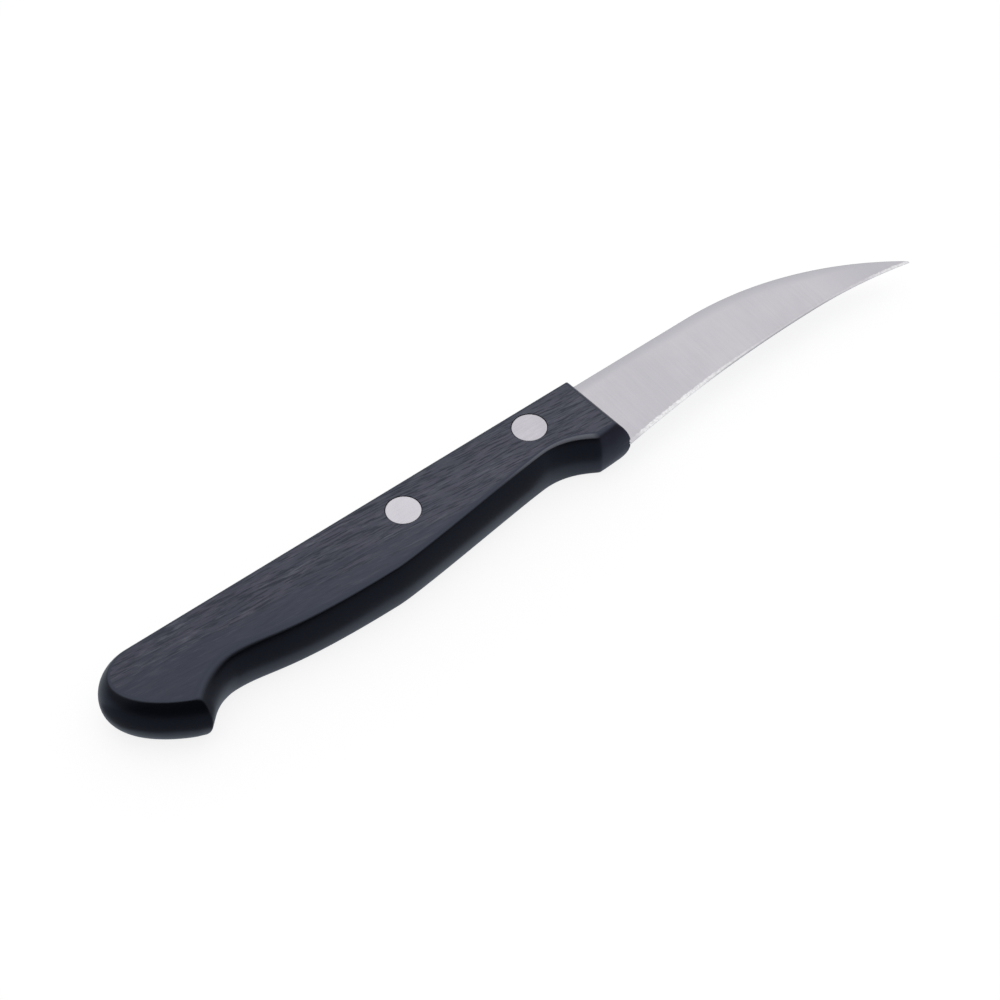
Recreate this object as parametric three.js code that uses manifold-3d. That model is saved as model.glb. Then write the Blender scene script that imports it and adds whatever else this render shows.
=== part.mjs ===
// A tourne paring knife: a thin, hooked blade whose tang sits in a saw cut along the back of a
// one-piece wooden handle and is held there by two compression rivets.
// Millimetres. The knife lies on its side: +X to the tip, +Y to the spine, +Z up.
// While it is built, x = 0 is the front edge of the handle's flat sides, y = 0 is their spine edge
// and z = 0 is the middle plane of the blade.
import * as THREE from 'three';
import { mergeVertices } from 'three/addons/utils/BufferGeometryUtils.js';
import Module from 'manifold-3d';

const wasm = await Module();
wasm.setup();

// Blade
const BLADE_LENGTH = 63.8; // from the handle's front to the tip
const BLADE_THICKNESS = 1.2;
const BLADE_SET_DOWN = 0.3; // how far its spine lies below the crest of the handle's spine
const SPINE_STRAIGHT = 25.2; // straight stretch of the spine in front of the handle
const TIP_DROP = 13.8; // tip below the spine's straight stretch
const HEEL_HEIGHT = 15.8; // spine to edge at the handle
const HEEL_SET_BACK = 0.2; // the edge ends this far behind the lip's front
const WAIST_HEIGHT = 12; // spine line to the highest point of the hollow edge
const WAIST_FROM_TIP = 19.3;
const TIP_HEIGHT = 0.3; // the point is a little blunt
const GRIND_HEIGHT = 11; // the sides taper from here down to the edge
const GRIND_THICKNESS = 0.4; // where the taper meets the edge bevel
const BEVEL_HEIGHT = 0.9;
const EDGE_THICKNESS = 0.08;

// Tang
const TANG_LENGTH = 50; // behind the handle's front edge
const TANG_HEIGHT = 10.2;
const TANG_CORNER = 3;
const SHOULDER_LENGTH = 10; // stretch over which the heel's height falls to the tang's
const HEEL_STEP = 0.9; // the shoulder starts this far above the edge
const TANG_LAP = 0.8; // how far the unground tang stays inside the handle's front

// Handle: the outline of its flat sides
const HANDLE_LENGTH = 96.6;
const HANDLE_THICKNESS = 9.4;
const FRONT_RAKE = 0.55; // the lip's corner stands this far in front of the spine's
const LIP_HEIGHT = 12.4; // spine edge to the lip's front corner
const LIP_LENGTH = 4;
const LIP_FALL = 0.45; // the lip's rear corner is this much lower than its front one
const LIP_ANGLE = 34; // degrees, at which the finger scoop runs down to the lip
const SCOOP_FROM_FRONT = 11.9;
const SCOOP_HEIGHT = 9.75;
const BELLY_FROM_FRONT = 46.7;
const BELLY_HEIGHT = 14.2;
const WRIST_FROM_BUTT = 18.75; // the narrow place behind the belly
const WRIST_HEIGHT = 11.4;
const HOOK_FROM_BUTT = 9.55;
const HOOK_HEIGHT = 15;
const HOOK_ANGLE = 42; // degrees, at which its front side rises from its point
const HOOK_ROUND = 0.5; // how far the hook's rounding reaches along both of its sides
const BUTT_HEIGHT = 5.15; // spine edge to the rearmost point of the butt
const BUTT_ROUND = 6.55; // length of the round corner between spine and butt

// Handle: how softly the outline's curves leave their ends, as shares of their runs
const SCOOP_EASE = { front: 0.47, rear: 0.1 };
const BELLY_EASE = { front: 0.15, rear: 0.74 };
const WRIST_EASE = { front: 0.22, rear: 0.35 };
const LIP_EASE = 0.27;
const HOOK_EASE = 0.35;
const BUTT_EASE = { spine: 0.62, above: 0.48, below: 0.53, run: 0.2, rise: 0.02 };

// Handle: how far its edge faces swell past the flat sides, at half thickness
const SPINE_SWELL = 1.75;
const FRONT_SWELL = 1.85;
const BELLY_SWELL = 0.9;
const HOOK_SWELL = 2.55;
const BUTT_SWELL = 2;

// Rivets
const RIVET_SETBACK = 11.1; // first rivet behind the handle's front edge
const REAR_RIVET_FROM_END = 11.75; // second rivet in front of the tang's rear end
const FRONT_RIVET_DEPTH = 3.95; // below the spine edge
const REAR_RIVET_DEPTH = 4.95;
const HEAD_DIAMETER = 6;
const HEAD_THICKNESS = 2.2;
const POST_DIAMETER = 2.6;
const BARREL_WALL = 0.65; // round the post's bore
const HEAD_CHAMFER = 0.12;
const HEAD_SET_DOWN = 0.03;

// Fits
const KERF_CLEARANCE = 0.1; // glue line round the tang
const HOLE_CLEARANCE = 0.1; // round a rivet in wood or steel
const SEAT_CLEARANCE = 0.05; // under a rivet's head
const POST_CLEARANCE = 0.05; // post in barrel
const END_CLEARANCE = 0.3; // past the end of a post or a barrel

// Facets
const CURVE_STEPS = 14;
const ROUND_STEPS = 6;
const SECTION_STEPS = 10;
const BLADE_STEPS = 44;
const ROUND_SIDES = 40;
const WELD = 1e-4; // points closer than this are one

const half = HANDLE_THICKNESS / 2;
const spineLine = SPINE_SWELL - BLADE_SET_DOWN;
const bladeStart = FRONT_SWELL;
const heelX = FRONT_SWELL + FRONT_RAKE - HEEL_SET_BACK;
const tipX = bladeStart + BLADE_LENGTH;
const tangFoot = spineLine - TANG_HEIGHT;

// Solids and cuts

function solidOf(geometry) {
  const bare = geometry.clone();
  bare.deleteAttribute('normal');
  bare.deleteAttribute('uv');
  const merged = mergeVertices(bare, WELD);
  return new wasm.Manifold(new wasm.Mesh({
    numProp: 3,
    vertProperties: new Float32Array(merged.attributes.position.array),
    triVerts: new Uint32Array(merged.index.array),
  }));
}

function geometryOf(solid) {
  const mesh = solid.getMesh();
  const geometry = new THREE.BufferGeometry();
  geometry.setAttribute('position', new THREE.BufferAttribute(mesh.vertProperties, 3));
  geometry.setIndex(new THREE.BufferAttribute(mesh.triVerts, 1));
  geometry.computeVertexNormals();
  return geometry;
}

// A closed skin over rings of equally many points. `fill` lists the triangles of a flat end as
// places in its ring, running the way that the ring runs.
function loft(rings, fill) {
  const count = rings[0].length;
  const points = rings.flat();
  const faces = [];
  for (let r = 0; r + 1 < rings.length; r++) {
    for (let i = 0; i < count; i++) {
      const a = r * count + i;
      const b = r * count + (i + 1) % count;
      faces.push(a, b, b + count, a, b + count, a + count);
    }
  }
  const last = points.length - count;
  for (const [a, b, c] of fill(rings[0])) faces.push(a, c, b);
  for (const [a, b, c] of fill(rings.at(-1))) faces.push(last + a, last + b, last + c);
  const geometry = new THREE.BufferGeometry().setFromPoints(points);
  geometry.setIndex(faces);
  return geometry;
}

function fillOutline(ring) {
  return THREE.ShapeUtils.triangulateShape(ring.map((p) => new THREE.Vector2(p.x, p.y)), []);
}

function sheet(shape, thickness) {
  const geometry = new THREE.ExtrudeGeometry(shape,
    { depth: thickness, bevelEnabled: false, curveSegments: CURVE_STEPS });
  return geometry.translate(0, 0, -thickness / 2);
}

function rod(diameter, from, to, place) {
  const geometry = new THREE.CylinderGeometry(diameter / 2, diameter / 2, to - from, ROUND_SIDES);
  geometry.rotateX(Math.PI / 2);
  return geometry.translate(place.x, place.y, (from + to) / 2);
}

// Blade

// How far an arc has left a line after `run` along it, where it ends `drop` away after `whole`.
function arcDrop(run, whole, drop) {
  const bend = 2 * drop / (whole * whole + drop * drop);
  return bend * run * run / (1 + Math.sqrt(1 - (bend * run) ** 2));
}

const curveStart = bladeStart + SPINE_STRAIGHT;
const waistX = tipX - WAIST_FROM_TIP;

function spineAt(x) {
  return spineLine - arcDrop(Math.max(x - curveStart, 0), tipX - curveStart, TIP_DROP);
}

// The hollow edge: one arc from its waist to the tip and one back to the heel.
function edgeAt(x) {
  const fall = x > waistX
    ? arcDrop(x - waistX, WAIST_FROM_TIP, TIP_DROP + TIP_HEIGHT - WAIST_HEIGHT)
    : arcDrop(waistX - x, waistX - bladeStart, HEEL_HEIGHT - WAIST_HEIGHT);
  return spineLine - WAIST_HEIGHT - fall;
}

// The tang and the shoulder behind the heel, from the spine round to the heel and down to `bottom`,
// grown by a clearance at the bottom and the rear.
function tangOutline(front, top, bottom, clearance) {
  const foot = tangFoot - clearance;
  const rear = -TANG_LENGTH - clearance;
  const shape = new THREE.Shape();
  shape.moveTo(front, top);
  shape.lineTo(rear, top);
  shape.lineTo(rear, foot + TANG_CORNER);
  shape.absarc(rear + TANG_CORNER, foot + TANG_CORNER, TANG_CORNER, Math.PI, 1.5 * Math.PI);
  shape.lineTo(heelX - SHOULDER_LENGTH, foot);
  shape.lineTo(heelX - clearance, spineLine - HEEL_HEIGHT + HEEL_STEP - clearance);
  shape.lineTo(heelX - clearance, bottom);
  return shape;
}

// Stations along the blade from x to the tip.
function stations(x, past = 0) {
  const list = [];
  for (let i = 0; i <= BLADE_STEPS; i++) {
    list.push(THREE.MathUtils.lerp(x, tipX + past, i / BLADE_STEPS));
  }
  return list;
}

// The stamped sheet: the tang, the hollow edge and the hooked spine.
function stampedShape() {
  const shape = tangOutline(bladeStart, spineLine, edgeAt(heelX), 0);
  const [, ...edge] = stations(heelX);
  for (const x of edge) shape.lineTo(x, edgeAt(x));
  const curved = stations(curveStart).reverse();
  for (const x of curved) shape.lineTo(x, spineAt(x));
  return shape;
}

// What the grinding takes off one side (+1 is the upper one): a taper down to the edge bevel, and
// the bevel. It starts just inside the handle and runs past the tip and below the edge.
function grindCutter(side) {
  const past = BLADE_THICKNESS;
  const slope = (BLADE_THICKNESS - GRIND_THICKNESS) / (GRIND_HEIGHT - BEVEL_HEIGHT) / 2;
  const profile = [
    [-past, EDGE_THICKNESS / 2],
    [0, EDGE_THICKNESS / 2],
    [BEVEL_HEIGHT, GRIND_THICKNESS / 2],
    [GRIND_HEIGHT + past, BLADE_THICKNESS / 2 + past * slope],
    [GRIND_HEIGHT + past, BLADE_THICKNESS],
    [-past, BLADE_THICKNESS],
  ];
  const rings = stations(bladeStart - TANG_LAP, past).map((x) => {
    const ring = profile.map(([above, z]) => new THREE.Vector3(x, edgeAt(x) + above, side * z));
    return side > 0 ? ring : ring.reverse();
  });
  const fill = (ring) => THREE.ShapeUtils.triangulateShape(
    ring.map((p) => new THREE.Vector2(p.y, p.z)), []);
  return loft(rings, fill);
}

const rivetPlaces = {
  front: new THREE.Vector2(-RIVET_SETBACK, -FRONT_RIVET_DEPTH),
  rear: new THREE.Vector2(REAR_RIVET_FROM_END - TANG_LENGTH, -REAR_RIVET_DEPTH),
};
const postBore = POST_DIAMETER + 2 * POST_CLEARANCE;
const barrelDiameter = postBore + 2 * BARREL_WALL;
const barrelHole = barrelDiameter + 2 * HOLE_CLEARANCE;

function bladeGeometry() {
  let solid = solidOf(sheet(stampedShape(), BLADE_THICKNESS));
  for (const side of [1, -1]) solid = solid.subtract(solidOf(grindCutter(side)));
  for (const place of Object.values(rivetPlaces)) {
    solid = solid.subtract(solidOf(rod(barrelHole, -BLADE_THICKNESS, BLADE_THICKNESS, place)));
  }
  return geometryOf(solid);
}

// Handle

// The outline of a flat side, counterclockwise from the spine's front corner, as curves that each
// carry the swell at their two ends.
function sideOutline() {
  const at = (x, y) => new THREE.Vector2(x, y);
  const buttX = -HANDLE_LENGTH;
  const corner = at(0, 0);
  const spineEnd = at(buttX + BUTT_ROUND, 0);
  const butt = at(buttX, -BUTT_HEIGHT);
  const hook = at(buttX + HOOK_FROM_BUTT, -HOOK_HEIGHT);
  const wrist = at(buttX + WRIST_FROM_BUTT, -WRIST_HEIGHT);
  const belly = at(-BELLY_FROM_FRONT, -BELLY_HEIGHT);
  const scoop = at(-SCOOP_FROM_FRONT, -SCOOP_HEIGHT);
  const lipFront = at(FRONT_RAKE, -LIP_HEIGHT);
  const lipRear = at(FRONT_RAKE - LIP_LENGTH, -LIP_HEIGHT - LIP_FALL);

  // Places that a curve heads for: along X, a share of the way to another place, or at an angle.
  const along = (from, to, share) => at(THREE.MathUtils.lerp(from.x, to.x, share), from.y);
  const towards = (from, to, run, rise) => at(
    THREE.MathUtils.lerp(from.x, to.x, run), THREE.MathUtils.lerp(from.y, to.y, rise));
  const beside = (from, angle, reach) => at(from.x + reach * Math.cos(angle), from.y + reach * Math.sin(angle));
  const lipAngle = THREE.MathUtils.degToRad(180 - LIP_ANGLE);
  const aboveLip = beside(lipRear, lipAngle, LIP_EASE * scoop.distanceTo(lipRear));

  // The hook's rounding, between its side under the butt and the one under the wrist.
  const underButt = towards(hook, butt, BUTT_EASE.run, BUTT_EASE.rise);
  const hookRear = beside(hook, underButt.clone().sub(hook).angle(), HOOK_ROUND);
  const hookAngle = THREE.MathUtils.degToRad(HOOK_ANGLE);
  const hookFront = beside(hook, hookAngle, HOOK_ROUND);
  const underWrist = beside(hookFront, hookAngle, HOOK_EASE * hookFront.distanceTo(wrist));

  const line = (a, b) => ({ curve: new THREE.LineCurve(a, b), steps: 1 });
  const bend = (a, b, c, d) => ({ curve: new THREE.CubicBezierCurve(a, b, c, d), steps: CURVE_STEPS });
  return [
    { ...line(corner, spineEnd), from: SPINE_SWELL, to: SPINE_SWELL },
    { ...bend(spineEnd, along(spineEnd, butt, BUTT_EASE.spine),
      towards(butt, spineEnd, 0, BUTT_EASE.above), butt), from: SPINE_SWELL, to: BUTT_SWELL },
    { ...bend(butt, towards(butt, hook, 0, BUTT_EASE.below), underButt, hookRear),
      from: BUTT_SWELL, to: HOOK_SWELL },
    { curve: new THREE.QuadraticBezierCurve(hookRear, hook, hookFront), steps: ROUND_STEPS,
      from: HOOK_SWELL, to: HOOK_SWELL },
    { ...bend(hookFront, underWrist, along(wrist, hook, WRIST_EASE.rear), wrist),
      from: HOOK_SWELL, to: BELLY_SWELL },
    { ...bend(wrist, along(wrist, belly, WRIST_EASE.front), along(belly, wrist, BELLY_EASE.rear), belly),
      from: BELLY_SWELL, to: BELLY_SWELL },
    { ...bend(belly, along(belly, scoop, BELLY_EASE.front), along(scoop, belly, SCOOP_EASE.rear), scoop),
      from: BELLY_SWELL, to: BELLY_SWELL },
    { ...bend(scoop, along(scoop, lipRear, SCOOP_EASE.front), aboveLip, lipRear),
      from: BELLY_SWELL, to: BELLY_SWELL },
    { ...line(lipRear, lipFront), from: BELLY_SWELL, to: FRONT_SWELL },
    { ...line(lipFront, corner), from: FRONT_SWELL, to: FRONT_SWELL },
  ];
}

// Points of the outline, each with its swell and the outward direction that keeps both neighbouring
// faces parallel to themselves.
function outlinePoints() {
  const points = [];
  for (const { curve, from, to, steps } of sideOutline()) {
    for (let i = 0; i < steps; i++) {
      const place = curve.getPoint(i / steps);
      points.push({ place, swell: THREE.MathUtils.lerp(from, to, i / steps) });
    }
  }
  const count = points.length;
  const outward = (a, b) => new THREE.Vector2(b.y - a.y, a.x - b.x).normalize();
  points.forEach((point, i) => {
    const before = outward(points[(i + count - 1) % count].place, point.place);
    const after = outward(point.place, points[(i + 1) % count].place);
    point.out = before.clone().add(after).divideScalar(1 + before.dot(after));
  });
  return points;
}

// The handle's edge faces are arcs over its thickness, which start and end at the flat sides' edges.
function handleGeometry() {
  const outline = outlinePoints();
  const rings = [];
  for (let level = 0; level <= SECTION_STEPS; level++) {
    const z = THREE.MathUtils.lerp(-half, half, level / SECTION_STEPS);
    rings.push(outline.map(({ place, out, swell }) => {
      const moved = place.clone().addScaledVector(out, swell - arcDrop(z, half, swell));
      return new THREE.Vector3(moved.x, moved.y, z);
    }));
  }
  let solid = solidOf(loft(rings, fillOutline));
  const past = HANDLE_THICKNESS;
  const below = -HEEL_HEIGHT - past;
  const kerf = tangOutline(bladeStart + past, SPINE_SWELL + past, below, KERF_CLEARANCE);
  kerf.lineTo(bladeStart + past, below);
  solid = solid.subtract(solidOf(sheet(kerf, BLADE_THICKNESS + 2 * KERF_CLEARANCE)));
  const seat = half - HEAD_THICKNESS - HEAD_SET_DOWN - SEAT_CLEARANCE;
  const headHole = HEAD_DIAMETER + 2 * HOLE_CLEARANCE;
  for (const place of Object.values(rivetPlaces)) {
    solid = solid.subtract(solidOf(rod(barrelHole, -half, half, place)));
    solid = solid.subtract(solidOf(rod(headHole, seat, half + past, place)));
    solid = solid.subtract(solidOf(rod(headHole, -half - past, -seat, place)));
  }
  return geometryOf(solid);
}

// Rivets. Each half is turned about its own axis, with the face of its head at z = 0 and its shank
// along -z.

const gripLength = HANDLE_THICKNESS - 2 * (HEAD_THICKNESS + HEAD_SET_DOWN);

function turned(profile) {
  const geometry = new THREE.LatheGeometry(profile.map(([r, z]) => new THREE.Vector2(r, z)), ROUND_SIDES);
  return geometry.rotateX(Math.PI / 2);
}

function postGeometry() {
  const head = HEAD_DIAMETER / 2;
  const post = POST_DIAMETER / 2;
  const end = HEAD_THICKNESS + gripLength - END_CLEARANCE;
  return turned([
    [0, -end], [post - HEAD_CHAMFER, -end], [post, HEAD_CHAMFER - end], [post, -HEAD_THICKNESS],
    [head, -HEAD_THICKNESS], [head, -HEAD_CHAMFER], [head - HEAD_CHAMFER, 0], [0, 0],
  ]);
}

function socketGeometry() {
  const head = HEAD_DIAMETER / 2;
  const barrel = barrelDiameter / 2;
  const bore = postBore / 2;
  const end = HEAD_THICKNESS + gripLength - END_CLEARANCE;
  return turned([
    [0, -HEAD_THICKNESS], [bore, -HEAD_THICKNESS], [bore, -end], [barrel, -end],
    [barrel, -HEAD_THICKNESS], [head, -HEAD_THICKNESS], [head, -HEAD_CHAMFER],
    [head - HEAD_CHAMFER, 0], [0, 0],
  ]);
}

// Assembly

const steel = { color: 0xc6c5ca, roughness: 0.34, metalness: 1 };
const rivetSteel = { color: 0xd2d0d5, roughness: 0.42, metalness: 1 };
const dyedWood = { color: 0x3a3c47, roughness: 0.55, metalness: 0 };

function piece(name, geometry, finish) {
  const mesh = new THREE.Mesh(geometry, new THREE.MeshStandardMaterial(finish));
  mesh.name = name;
  return mesh;
}

const knife = new THREE.Group();
knife.add(piece('blade', bladeGeometry(), steel));
knife.add(piece('handle', handleGeometry(), dyedWood));

for (const [name, place] of Object.entries(rivetPlaces)) {
  const rivet = new THREE.Group();
  rivet.position.set(place.x, place.y, 0);
  const post = piece(`rivet_${name}_post`, postGeometry(), rivetSteel);
  post.position.z = half - HEAD_SET_DOWN;
  const socket = piece(`rivet_${name}_socket`, socketGeometry(), rivetSteel);
  socket.rotation.x = Math.PI;
  socket.position.z = HEAD_SET_DOWN - half;
  rivet.add(post, socket);
  knife.add(rivet);
}

// The origin is the middle of the underside of the whole knife's box.
const box = new THREE.Box3().setFromObject(knife);
const middle = box.getCenter(new THREE.Vector3());
knife.children.forEach((child) => child.position.sub(new THREE.Vector3(middle.x, middle.y, box.min.z)));

export default knife;
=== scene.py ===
# A tourne knife, dressed around its packed solids: the shaped handle, the ground blade, the four
# rivet halves, their finishes, the stage and the camera.
import math

import bmesh
import bpy
from bpy.props import FloatProperty, FloatVectorProperty, IntProperty, PointerProperty
from mathutils import Matrix, Vector
from mathutils.geometry import interpolate_bezier


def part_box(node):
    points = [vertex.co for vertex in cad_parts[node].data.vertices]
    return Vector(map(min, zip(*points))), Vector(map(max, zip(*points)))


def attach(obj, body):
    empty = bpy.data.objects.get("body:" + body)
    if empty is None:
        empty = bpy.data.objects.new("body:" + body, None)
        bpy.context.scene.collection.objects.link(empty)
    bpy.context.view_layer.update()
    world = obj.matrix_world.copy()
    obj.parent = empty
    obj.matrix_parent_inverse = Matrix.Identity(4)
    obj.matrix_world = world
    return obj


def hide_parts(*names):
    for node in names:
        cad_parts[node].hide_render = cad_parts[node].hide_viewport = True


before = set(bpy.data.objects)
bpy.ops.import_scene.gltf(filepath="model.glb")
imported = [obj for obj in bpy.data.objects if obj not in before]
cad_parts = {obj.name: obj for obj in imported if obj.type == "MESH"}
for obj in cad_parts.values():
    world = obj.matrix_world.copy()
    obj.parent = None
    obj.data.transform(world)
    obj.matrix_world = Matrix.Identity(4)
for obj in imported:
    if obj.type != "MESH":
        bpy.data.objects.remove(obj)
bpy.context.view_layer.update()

bl_info = {
    "name": "Tourne knife",
    "version": (1, 0, 0),
    "blender": (4, 5, 0),
    "location": "View3D > Sidebar > Knife",
    "description": "Builds a tourne knife's handle, blade and rivets, their finishes and the stage",
    "category": "Add Mesh",
}

MM = 0.001
# Places closer than this are one place; a face looks straight up or down if its normal does by this.
TOGETHER = 0.001 * MM
UPRIGHT = 0.9999
# Angles in degrees: below these, wood and steel are shaded smooth; above the last, the outline has a
# corner.
WOOD_SMOOTH, STEEL_SMOOTH, CORNER_ANGLE = 30, 32, 14
# Steps of a small rounding, the most of an outline's step that a rounded corner takes, and the
# stretch in which one section of the tang or the blade changes to another.
ROUND_STEPS = 4
CORNER_SHARE = 0.6
SECTION_STEP = 0.02 * MM
# Reach of the handle outline's curves: shares of the way from one place to the next.
REACH = {
    "spine": 0.62, "butt_up": 0.48, "butt_down": 0.53, "hook_rear": (0.14, 0.03), "hook_front": 0.35,
    "wrist_rear": 0.35, "wrist_front": 0.22, "belly_rear": 0.74, "belly_front": 0.15,
    "scoop_rear": 0.1, "scoop_front": 0.47, "lip": 0.27,
}
# Share of an edge's rounding that reaches down the edge face, and places across the calm rim.
ROUND_DOWN = 0.8
RIM_PLACES = (0.12, 0.5, 1)
# Most of a blade section's height that bevel and taper take, and half the width of the line between
# them, as a share of the bevel.
BEVEL_LIMIT, TAPER_LIMIT, BEVEL_LINE = 0.45, 0.8, 0.06
# Spans along the handle over which its looks change, in mm from the datum, and a span down from it.
# The first two spans paint light onto the handle's front and paint shade towards its butt.
PAINTED_LIGHT_SPAN, PAINTED_SHADE_SPAN = (-90, -5), (-60, -92)
# The spans behind the lip and at the scoop, and the span down from the spine, place a painted
# highlight along the finger scoop's eased edge.
LIP_SPAN, BEHIND_LIP_SPAN, SCOOP_HIGHLIGHT_SPAN = (-4.5, -2.5), (-3, -4.5), (-25, -9)
LOWER_SPAN = (3, 6)
# Spans of how calm the grain is: from open to calm, onto the painted highlight of the eased edge and
# off it, onto the edge faces, and from the flat sides' polish to theirs.
OPEN_CALM, SCOOP_HIGHLIGHT_CALM, SCOOP_HIGHLIGHT_END = (0.0, 0.8), (0.8, 0.85), (1.0, 0.95)
EDGE_CALM, POLISH_CALM = (0.88, 0.97), (0.82, 1.0)
# How far the grain sways, how far the figured grain strays over its line, and how softly it ends.
GRAIN_SWAY, FIGURE_STRAY, FIGURE_FADE = 3 * MM, 12 * MM, 1.5 * MM
# Spans along the blade over which its looks change, as shares of its length.
# Among these, painted shade darkens the blade towards its tip, along its spine and along the fore
# edge, and a painted highlight lights the bevel near the heel and at the tip.
TIP_SPAN, THIN_SPAN, TIP_SHADE_SPAN = (0.88, 0.94), (0.3, 0.65), (0.7, 0.95)
EDGE_SHADE_START, EDGE_SHADE_END, BEVEL_HIGHLIGHT_END = (0.28, 0.42), (0.87, 0.7), (0.62, 0.26)
# The same in mm: along from the datum, up from the edge and down from the spine.
BEVEL_HIGHLIGHT_START, EDGE_SHADE_HEIGHT, SPINE_SHADE_SPAN = (3.5, 6), (0.3, 0.1), (3, 0.6)
# How much narrower the bevel is in front and how much of that the tip gives back, how far its upper
# line wanders, and how far that line fades up and down.
BEVEL_THINNING, TIP_BEVEL, BEVEL_WANDER = 0.25 * MM, 0.12 * MM, 0.6 * MM
BEVEL_FADE = (0.2 * MM, -0.1 * MM)
# Depth of the relief in wood and in steel.
WOOD_RELIEF, STEEL_RELIEF = 0.03 * MM, 0.004 * MM
# Ring left round the flat faces of a rivet.
FACE_INSET = 0.1 * MM
# Floor below the knife, low card above it, the low card's far corner as a share of its reach, and
# the width of the camera's sensor in mm.
FLOOR_GAP = 0.02 * MM
CARD_LIFT = 0.3 * MM
CARD_SLANT = 0.9
SENSOR_WIDTH = 36
# Edge of the card that lies round the butt and the belly, in mm along and across from the datum, and
# edge of the card that stands in front of them, along and up.
LOW_CARD = ((-100.8, 2), (-100.3, -5), (-98.2, -11.8), (-92.8, -17.3), (-87.2, -19), (-78, -15.5),
            (-47, -17.5), (-14, -12.6), (-6, -15.5), (-4, -19))
STANDING_CARD = ((0, 0), (0, 25), (-40, 25), (-40, 150))
# How calm the grain is, from the open flat side out over the rounded edge; the edge faces have 1.
CALM_OUTWARDS = (0, 0.4, 0.8, 0.8, 0.84, 0.88, 0.92, 0.96)


def distance(description, mm):
    return FloatProperty(description=description, default=mm * MM, precision=5, unit="LENGTH")


def turn(description, degrees):
    return FloatProperty(description=description, default=math.radians(degrees), unit="ROTATION")


def level(description, value):
    return FloatProperty(description=description, default=value, min=0)


def number(description, value):
    return IntProperty(description=description, default=value, min=1)


def colour(description, *value):
    return FloatVectorProperty(description=description, default=value, size=3, min=0, max=1,
                               subtype="COLOR")


def labelled(group):
    """Labels each value of a property group after its name."""
    for name, value in group.__annotations__.items():
        value.keywords["name"] = name.replace("_", " ").capitalize()
    return group


def middle_of(solid):
    low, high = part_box(solid)
    return (low + high) / 2


handle_low, handle_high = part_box("handle")
front_rivet = middle_of("rivet_front_post").to_2d()
rear_rivet = middle_of("rivet_rear_post").to_2d()
middle_height = (handle_low.z + handle_high.z) / 2


@labelled
class HandleSizes(bpy.types.PropertyGroup):
    """The outline of the handle's flat sides, and how far its edge faces swell past them"""

    length: distance("Flat sides, from their front edge at the spine to the butt", 96.6)
    thickness: distance("Between the flat sides", (handle_high.z - handle_low.z) / MM)
    rivet_setback: distance("First rivet behind the front edge", 11.1)
    rivet_depth: distance("First rivet below the spine edge", 3.95)
    front_rake: distance("How far the lip's corner stands in front of the spine's", 0.55)
    lip_height: distance("Spine edge to the lip's front corner", 12.4)
    lip_length: distance("Lip's front corner to its rear one", 4)
    lip_fall: distance("How much lower the lip's rear corner is", 0.45)
    lip_angle: turn("Slope at which the finger scoop runs down to the lip", 34)
    scoop_from_front: distance("Top of the finger scoop behind the front edge", 11.9)
    scoop_height: distance("Spine edge to the top of the finger scoop", 9.75)
    belly_from_front: distance("Lowest point of the belly behind the front edge", 46.7)
    belly_height: distance("Spine edge to the belly", 14.2)
    wrist_from_butt: distance("The narrow place in front of the butt", 18.75)
    wrist_height: distance("Spine edge to the narrow place", 11.55)
    hook_from_butt: distance("The hook's point in front of the butt", 9.75)
    hook_height: distance("Spine edge to the hook's point", 15.6)
    hook_angle: turn("Slope at which the hook's front side rises", 42)
    butt_height: distance("Spine edge to the rearmost point", 5.15)
    butt_round: distance("Length of the round corner from spine to butt", 6.55)
    spine_swell: distance("Bulge of the spine past the flat sides", 1.75)
    front_swell: distance("Bulge of the front end", 1.85)
    belly_swell: distance("Bulge of the belly", 0.9)
    wrist_swell: distance("Bulge of the narrow place in front of the butt", 1.15)
    hook_swell: distance("Bulge of the hook", 1.95)
    butt_swell: distance("Bulge of the butt", 2)
    crisp_round: distance("Rounding of the flats' edges at spine, front and butt", 0.25)
    belly_ease: distance("Rounding of the flats' edges along the belly", 0.35)
    scoop_ease: distance("Rounding of the flats' edges at the finger scoop", 0.5)
    lip_ease: distance("Rounding of the flats' edges at the lip's rear corner", 0.9)
    hook_ease: distance("Rounding of the flats' edges in front of the hook", 0.9)
    calm_width: distance("Width along the belly where sanding calmed the grain", 1.2)
    corner_round: distance("Rounding of the outline's sharp corners", 0.3)
    corner_clear: distance("Straight stretch on both sides of a sharp corner", 1.2)
    kerf_gap: distance("Glue line beside the tang", 0.1)
    hole_gap: distance("Room round a rivet", 0.1)


@labelled
class BladeSizes(bpy.types.PropertyGroup):
    """The blade's outline and grind, and its tang"""

    length: distance("Handle's front to the tip", 63.8)
    thickness: distance("Sheet thickness", 1.2)
    set_down: distance("Spine below the crest of the handle's spine", 0.3)
    straight: distance("Straight stretch in front of the handle", 25.2)
    tip_drop: distance("Tip below the straight spine", 13.8)
    heel_height: distance("Spine to edge at the handle", 15.8)
    heel_set_back: distance("End of the edge behind the lip's front", 0.2)
    heel_step: distance("Start of the shoulder above the edge", 0.9)
    waist_height: distance("Spine line to the top of the hollow edge", 12)
    waist_from_tip: distance("Top of the hollow edge behind the tip", 19.3)
    tip_height: distance("Height of the blunt point", 0.3)
    grind_height: distance("Height at which the taper starts", 11)
    grind_thickness: distance("Thickness where the taper meets the bevel", 0.4)
    bevel_height: distance("Height of the edge bevel", 0.9)
    edge_thickness: distance("Thickness of the cutting edge", 0.08)
    spine_round: distance("Radius of the spine's two edges", 0.16)
    tang_length: distance("Tang behind the handle's front edge", 50)
    tang_height: distance("Spine to the tang's foot", 10.2)
    tang_corner: distance("Radius of the tang's rear corner", 3)
    shoulder_length: distance("Stretch from the heel's height to the tang's", 10)
    lap: distance("Unground steel inside the handle's front", 0.8)


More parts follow.
